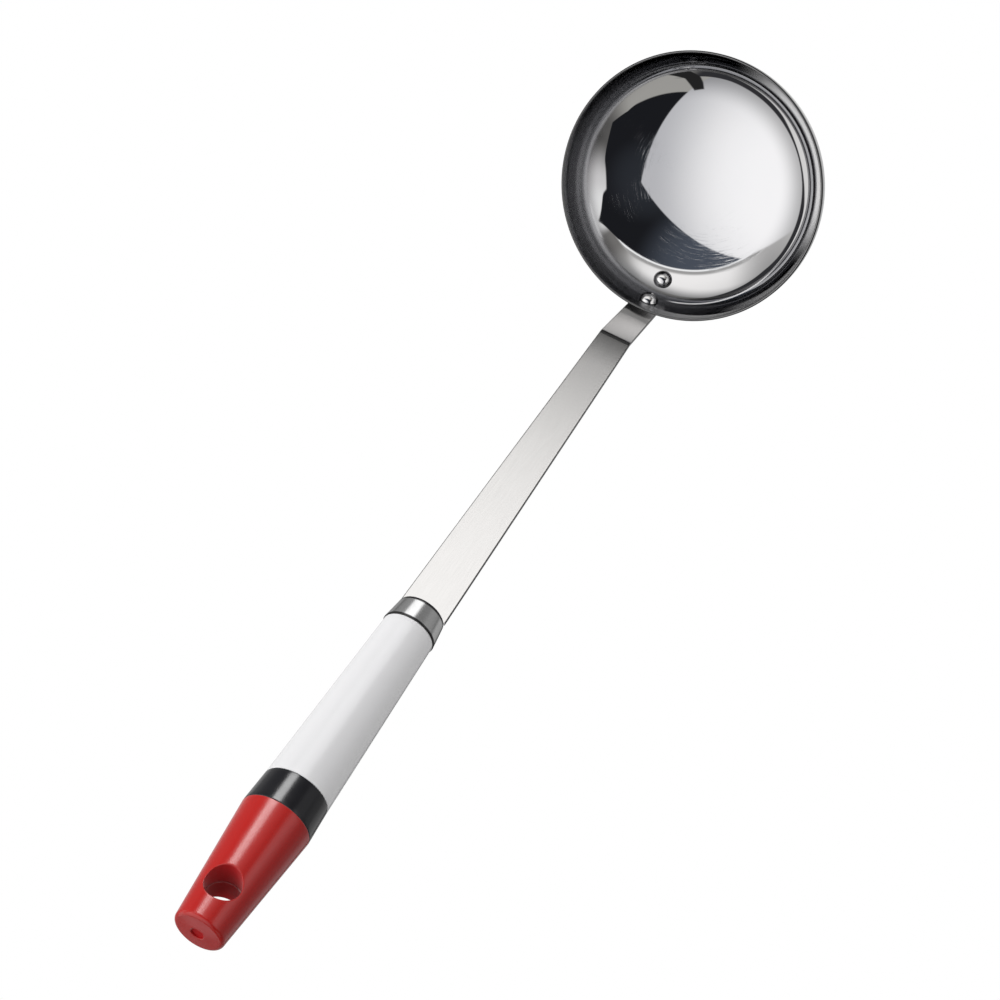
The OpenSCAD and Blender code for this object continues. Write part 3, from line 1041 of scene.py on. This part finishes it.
# the node tree of the sky, with the direction looked in as look
class Sky(Tree):
    def __init__(self, tree):
        super().__init__(tree)
        self.look = self.add("ShaderNodeTexCoord").outputs["Generated"]

    # the side of a plane: its unit normal times the direction, less its distance
    def side(self, name):
        a, b, c, inside = (direction(*place) for place in planes[name])
        normal = np.cross(b - a, c - a)
        normal = normal / np.linalg.norm(normal)
        if (inside - a) @ normal < 0:
            normal = -normal
        return self.math("SUBTRACT", self.vector("DOT_PRODUCT", self.look, tuple(normal)), float(normal @ a))

    # a panel is where the least of its sides is positive, with a soft border
    def panel(self, name):
        soft, first, *others = panels[name]
        least = self.side(first)
        for edge in others:
            least = self.math("MINIMUM", least, self.side(edge))
        return self.ease(least, -soft, soft)

    # one at a spot's middle, fading to none where it ends, by the cosine of the angle from the middle
    def spot(self, name):
        centre, full, none = spots[name]
        near = self.vector("DOT_PRODUCT", self.look, tuple(direction(*centre)))
        return self.ease(near, float(np.cos(np.radians(none))), float(np.cos(np.radians(full))))


# the room's walls: each panel's colour is blended over the last one as the turn enters it
def wallPanels(sky, height, turn):
    # the +Y side: all but the first two are dimmer lower down
    colour = sky.blend(sky.zone(spans, sideDark=turn), studio["warmPanel"], studio["sideDark"])
    side = studio["sideDark"]
    for name in ("sidePanel", "stripPanel", "greyPanel", "turnPanel"):
        side = sky.blend(sky.ease(turn, *spans[name]), side, studio[name])
    side = sky.blend(sky.zone(spans, sideFall=height), side, black)
    colour = sky.blend(sky.zone(spans, sideFrom=turn), colour, side)
    # the -Y side: bright above the key, dimmer lower down
    colour = sky.blend(sky.zone(spans, otherSide=turn), colour, studio["turnPanel"])
    colour = sky.blend(sky.spot("upperPanel"), colour, studio["upperPanel"])
    lower = sky.product(sky.zone(spans, upperFall=height), sky.spot("upperLow"))
    colour = sky.blend(lower, colour, studio["upperLow"])
    return sky.blend(sky.product(sky.spot("wallShade"), studio["wallShade"]), colour, black)


# the greater of two panels and a spike at their right end; along the upper side lie a border and a shade
def darkGap(sky, colour):
    upper, right, near = sky.side("gapUpper"), sky.side("gapRight"), sky.side("gapNear")
    beside = sky.math("MINIMUM", sky.zone(spans, besideGap=right), sky.zone(spans, besideGap=near))
    for name in ("gapShade", "gapBorder"):
        colour = sky.blend(sky.product(sky.ease(upper, *spans[name]), beside), colour, studio[name])
    gap = sky.product(sky.panel("spike"), sky.spot("spike"))
    for name in ("gapFar", "gapNear"):
        gap = sky.math("MAXIMUM", gap, sky.panel(name))
    # the gap is bluer and paler towards the key's upper corner, and a little paler overhead
    gapColour = studio["gap"]
    for name in ("gapPale", "gapOverhead"):
        gapColour = sky.blend(sky.spot(name), gapColour, studio[name])
    return sky.blend(gap, colour, gapColour)


# the key fades towards its far edge; beyond it are a dark crescent, thin in its middle, and a lit stretch
def keyPanel(sky, colour):
    key = sky.product(sky.panel("key"), sky.panel("keyTop"))
    keyColour = sky.blend(sky.spot("keyFar"), studio["keyNear"], studio["keyFar"])
    inner = sky.side("farInner")
    colour = sky.blend(key, colour, sky.blend(sky.zone(spans, keyFade=inner), keyColour, black))
    beyond = sky.product(sky.zone(spans, farLine=inner, farEnd=sky.side("farEnd")), sky.spot("farLine"))
    under = sky.blend(sky.spot("underKey"), studio["underSide"], studio["underKey"])
    under = sky.blend(sky.zone(spans, farOuter=sky.side("farOuter")), under, studio["farLine"])
    return sky.blend(beyond, colour, under)


# walls, then the upright strip, the gap, the key, the card and the low sky blended over them
def makeStudio():
    world = bpy.data.worlds.new("studio")
    bpy.context.scene.world = world
    world.use_nodes = True
    sky = Sky(world.node_tree)
    x, y, height = sky.split(sky.look)
    colour = wallPanels(sky, height, sky.product(sky.math("ARCTAN2", y, x), 180 / np.pi))
    # the narrow upright panel on the +Y side goes on below the horizon
    strip = sky.product(sky.panel("strip"), sky.zone(spans, stripTop=height))
    stripColour = sky.blend(sky.zone(spans, stripFoot=height), studio["stripFoot"], studio["stripLow"])
    colour = darkGap(sky, sky.blend(strip, colour, stripColour))
    colour = keyPanel(sky, colour)
    # a small dark card beside the handle
    colour = sky.blend(sky.panel("card"), colour, studio["card"])
    # low down the sky is dark behind the bowl and beside the handle, and bright before the cap's end
    for name in ("behindBowl", "besideHandle", "buttPanel"):
        low = sky.product(sky.ease(height, *spans[name]), sky.spot(name))
        colour = sky.blend(low, colour, studio[name])
    below = sky.product(sky.zone(spans, below=height), sky.math("SUBTRACT", 1.0, strip))
    colour = sky.blend(below, colour, studio["below"])
    paths = sky.add("ShaderNodeLightPath").outputs
    colour = sky.blend(sky.product(paths["Is Diffuse Ray"], studio["offMatt"]), colour, black)
    background = sky.add("ShaderNodeBackground")
    sky.put(background.inputs[0], sky.blend(paths["Is Camera Ray"], colour, studio["backdrop"]))
    sky.put(sky.add("ShaderNodeOutputWorld").inputs[0], background.outputs[0])


makeStudio()

# Lamps, each at a direction and this many metres from its aim. The first two only light matt surfaces; the
# others also show as highlights, on the piece they name.
lamps = dict(
    keyLamp=dict(at=(60, -100), far=1.3, size=(0.9, 0.9), glow=2.6),
    fillLamp=dict(at=(50, 120), far=1.4, size=(0.8, 0.8), glow=0.64),
    sleeveStrip=dict(at=(80, -172), far=0.9, size=(0.6, 0.46), glow=1.7, on="sleeveSkin"),
    bandStrip=dict(at=(80, -162), far=0.9, size=(0.34, 0.46), glow=10.5, on="bandSkin"),
    capStrip=dict(at=(80, -157), far=0.9, size=(0.36, 0.46), glow=9.0, on="capSkin"),
    strapStrip=dict(at=(84.6, -167), far=0.9, size=(0.5, 0.325), glow=1.24, on="strapSkin"),
    neckCard=dict(at=(67.4, 180), far=0.0015, size=(0.03, 0.0172), glow=0.3, on="strapSkin",
                  aim=(-0.17015, 0.0, -0.20337)),
    ferruleStrip=dict(at=(99, -162), far=0.6, size=(0.34, 0.3), glow=1.75, on="ferruleSkin"),
)
lampAim = (-0.04, 0.0, -0.04)


# each lamp stands off from its aim and faces it; its power is glow * pi * area
def makeLamp(name, lamp):
    data = bpy.data.lights.new(name, "AREA")
    data.shape, (data.size, data.size_y) = "RECTANGLE", lamp["size"]
    data.energy = lamp["glow"] * np.pi * lamp["size"][0] * lamp["size"][1]
    light = newObject(name, data)
    away = direction(*lamp["at"])
    side = np.cross([0, 0, 1], away)
    up = np.cross(away, side / np.linalg.norm(side))
    stand(light, up, away, np.array(lamp.get("aim", lampAim)) + lamp["far"] * away)
    light.visible_camera = False
    light.visible_glossy = "on" in lamp
    if "on" in lamp:
        lit = bpy.data.collections.new(name + "Lights")
        lit.objects.link(bpy.data.objects[lamp["on"]])
        light.light_linking.receiver_collection = lit


for lampName, lamp in lamps.items():
    makeLamp(lampName, lamp)
# the strap, the grip and the pin inside it don't show in the bowl, as in the photograph
pin.visible_glossy = False
for skinName in ("strapSkin", "ferruleSkin", "sleeveSkin", "bandSkin", "capSkin"):
    bpy.data.objects[skinName].visible_glossy = False

# The floor glows: white to the camera; to the pieces it is a glowing pale sheet on a darker surround, in
# metres
floorLook = dict(
    x=(-0.60, 0.45),
    y=(-0.45, 0.45),
    drop=0.0002,
    sheet=0.62,
    outside=0.42,
    dark=0.04,
    hemFrom=(0.16, 0.17),
    hemTo=(0.185, 0.2),
    hemStep=(-0.13, -0.05, 0.0, 0.11),
    # the painted shadow strip: its slope, its offset and its half width
    stripSlope=0.4,
    stripAcross=0.037,
    stripHalf=(0.02, 0.026),
)


# brightness = sheet inside the hem, outside beyond it, dark on the hem and on a painted shadow strip; 1 to
# the camera
def makeFloor():
    look = floorLook
    x, y = np.meshgrid(look["x"], look["y"], indexing="ij")
    lowest = cadBox[0][2] - look["drop"]
    points = np.stack([x, y, np.full_like(x, lowest)], -1).reshape(-1, 3)
    mesh = bpy.data.meshes.new("studioFloor")
    mesh.from_pydata(points.tolist(), [], [[0, 2, 3, 1]])
    floor = newObject("studioFloor", mesh)
    material = bpy.data.materials.new("paleFloor")
    material.use_nodes = True
    tree = Tree(material.node_tree)
    x, y, _ = tree.split(tree.add("ShaderNodeTexCoord").outputs["Object"])
    # the dark hem stands closer under the ferrule than under the grip
    reach = tree.math("SUBTRACT", tree.math("ABSOLUTE", y), tree.ease(x, *look["hemStep"]))
    pale = tree.ease(reach, *look["hemFrom"], look["sheet"], look["dark"])
    pale = tree.math("MAXIMUM", pale, tree.ease(reach, *look["hemTo"], 0.0, look["outside"]))
    # painted shadow: a dark strip beside the handle, where its shade would fall
    strip = tree.math("MULTIPLY_ADD", x, look["stripSlope"], look["stripAcross"])
    off = tree.math("ABSOLUTE", tree.math("SUBTRACT", y, strip))
    pale = tree.product(pale, tree.ease(off, *look["stripHalf"], look["dark"], 1.0))
    bright = tree.add("ShaderNodeEmission")
    camera = tree.add("ShaderNodeLightPath").outputs["Is Camera Ray"]
    tree.put(bright.inputs[1], tree.math("MAXIMUM", camera, pale))
    tree.put(tree.add("ShaderNodeOutputMaterial").inputs[0], bright.outputs[0])
    mesh.materials.append(material)


makeFloor()
print("studio ready")
